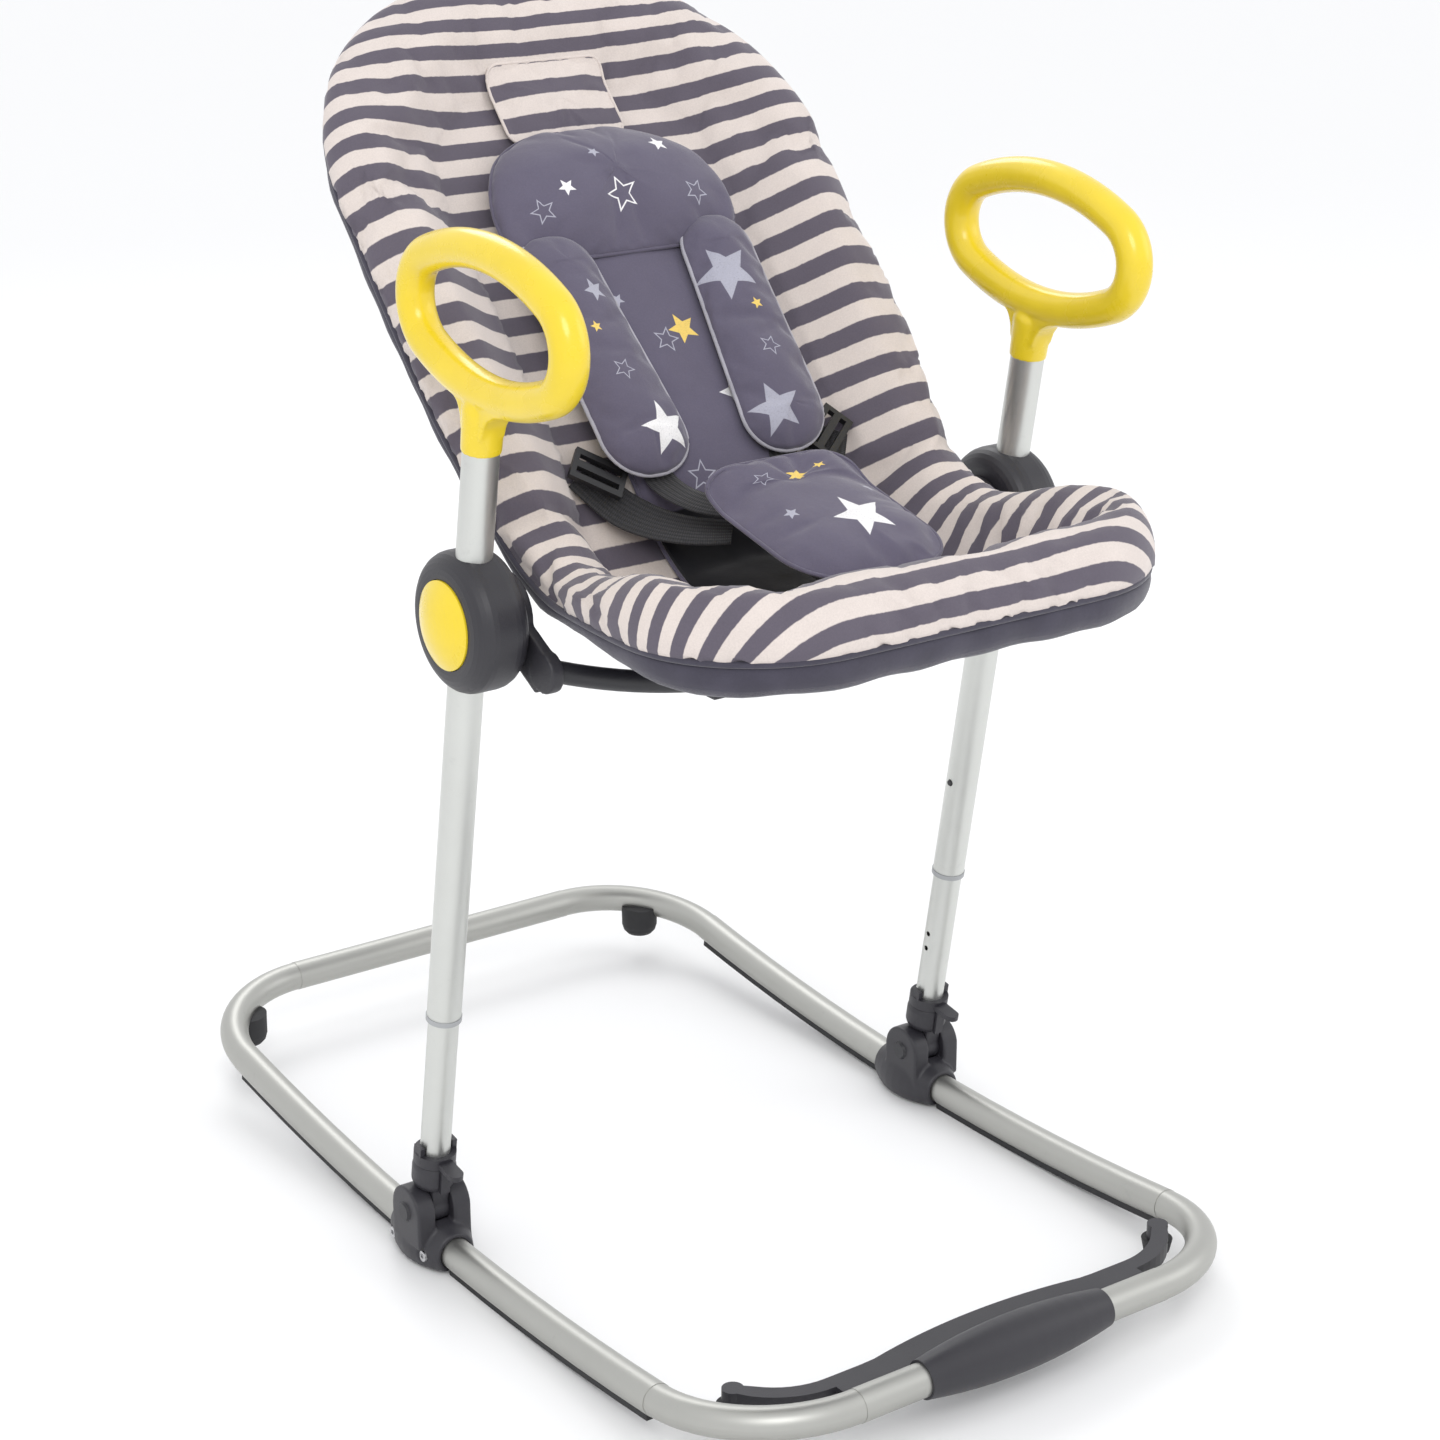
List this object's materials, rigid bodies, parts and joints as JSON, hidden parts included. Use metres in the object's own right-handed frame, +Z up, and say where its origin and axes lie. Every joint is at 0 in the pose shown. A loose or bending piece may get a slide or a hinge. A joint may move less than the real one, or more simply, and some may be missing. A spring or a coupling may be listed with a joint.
{
  "type": "baby bouncer seat",
  "caption": "Height-adjustable baby bouncer: padded striped reclining seat with harness between two telescopic posts with ring grips on a rocking tube base.",
  "frame": {"origin": "on the floor at the centre of the bounding box of the rest pose", "axes": "+Z up, -Y towards the foot end of the seat, X across with the left side at -X"},
  "size_m": [0.5462, 0.8549, 0.9324],
  "materials": {
    "tube_aluminium": "satin",
    "charcoal_plastic": "fine grained",
    "grey_plastic": "matte",
    "black_plastic": "matte",
    "yellow_plastic": "gloss",
    "steel": "brushed",
    "charcoal_steel": "powder coat",
    "black_rubber": "matte",
    "striped_fabric": "woven cotton, grey and cream stripes",
    "slate_fabric": "soft jersey",
    "black_webbing": "ribbed webbing"
  },
  "bodies": {
    "base": {"base_loop": "tube_aluminium", "anti_slip_strips": "black_rubber", "rear_feet": "black_rubber", "pivot_housing_left": "charcoal_plastic", "pivot_housing_right": "charcoal_plastic", "pivot_axles": "charcoal_steel", "housing_screws": "steel"},
    "legs": {"pivot_knuckle_left": "charcoal_plastic", "pivot_knuckle_right": "charcoal_plastic", "inner_post_left": "tube_aluminium", "inner_post_right": "tube_aluminium"},
    "latch_left": {"fold_latch_left": "charcoal_plastic"},
    "latch_right": {"fold_latch_right": "charcoal_plastic"},
    "carriage": {"outer_post_left": "tube_aluminium", "outer_post_right": "tube_aluminium", "post_bushings": "grey_plastic", "post_snap_buttons": "black_plastic", "hub_left": "charcoal_plastic", "hub_right": "charcoal_plastic", "hub_screws": "steel", "button_springs": "steel", "grip_ring_left": "yellow_plastic", "grip_ring_right": "yellow_plastic"},
    "button_left": {"hub_button_left": "yellow_plastic"},
    "button_right": {"hub_button_right": "yellow_plastic"},
    "pin_left": {"lock_pin_left": "steel"},
    "pin_right": {"lock_pin_right": "steel"},
    "seat": {"hub_bracket_left": "charcoal_plastic", "hub_bracket_right": "charcoal_plastic", "seat_yoke": "charcoal_steel", "yoke_saddles": "charcoal_plastic", "seat_rail": "charcoal_steel", "seat_cover": "striped_fabric", "seat_shell": "slate_fabric", "insert_pad": "slate_fabric", "head_hugger": "slate_fabric", "shoulder_pad_left": "slate_fabric", "shoulder_pad_right": "slate_fabric", "crotch_pad": "slate_fabric", "crotch_strap": "black_webbing", "waist_strap_left": "black_webbing", "waist_strap_right": "black_webbing", "shoulder_strap_left": "black_webbing", "shoulder_strap_right": "black_webbing", "strap_adjusters": "black_plastic", "harness_buckle": "charcoal_plastic"},
    "harness_release": {"buckle_button": "yellow_plastic"},
    "pedal": {"pedal_bar": "charcoal_plastic", "pedal_pad": "charcoal_plastic", "pedal_stops": "black_rubber"}
  },
  "joints": [
    {"name": "legs_fold", "type": "hinge", "parent": "base", "child": "legs", "pos_m": [0, -0.00138, 0.046], "axis": [-1, 0, 0], "range_deg": [0, 63]},
    {"name": "seat_height", "type": "slide", "parent": "legs", "child": "carriage", "axis": [0, -0.1736, 0.9848], "range_m": [-0.102, 0]},
    {"name": "seat_recline", "type": "hinge", "parent": "carriage", "child": "seat", "pos_m": [0, -0.08872, 0.54136], "axis": [-1, 0, 0], "range_deg": [-14, 22]},
    {"name": "rock_stop_swing", "type": "hinge", "parent": "base", "child": "pedal", "pos_m": [0, -0.40752, 0.03773], "axis": [-1, 0, 0], "range_deg": [0, 15]},
    {"name": "latch_left_lift", "type": "slide", "parent": "legs", "child": "latch_left", "axis": [0, -0.1736, 0.9848], "range_m": [0, 0.006], "stiffness_N_per_m": 500},
    {"name": "button_left_press", "type": "slide", "parent": "carriage", "child": "button_left", "axis": [1, 0, 0], "range_m": [0, 0.003], "stiffness_N_per_m": 800},
    {"name": "pin_left_draw", "type": "slide", "parent": "carriage", "child": "pin_left", "axis": [-1, 0, 0], "range_m": [0, 0.003]},
    {"name": "latch_right_lift", "type": "slide", "parent": "legs", "child": "latch_right", "axis": [0, -0.1736, 0.9848], "range_m": [0, 0.006], "stiffness_N_per_m": 500},
    {"name": "button_right_press", "type": "slide", "parent": "carriage", "child": "button_right", "axis": [-1, 0, 0], "range_m": [0, 0.003], "stiffness_N_per_m": 800},
    {"name": "pin_right_draw", "type": "slide", "parent": "carriage", "child": "pin_right", "axis": [1, 0, 0], "range_m": [0, 0.003]},
    {"name": "harness_release_press", "type": "slide", "parent": "seat", "child": "harness_release", "axis": [0, 0.5522, -0.8337], "range_m": [0, 0.002], "stiffness_N_per_m": 400}
  ],
  "couplings": [
    {"joint": "pin_left_draw", "follows": "button_left_press", "ratio": 1},
    {"joint": "pin_right_draw", "follows": "button_right_press", "ratio": 1}
  ]
}
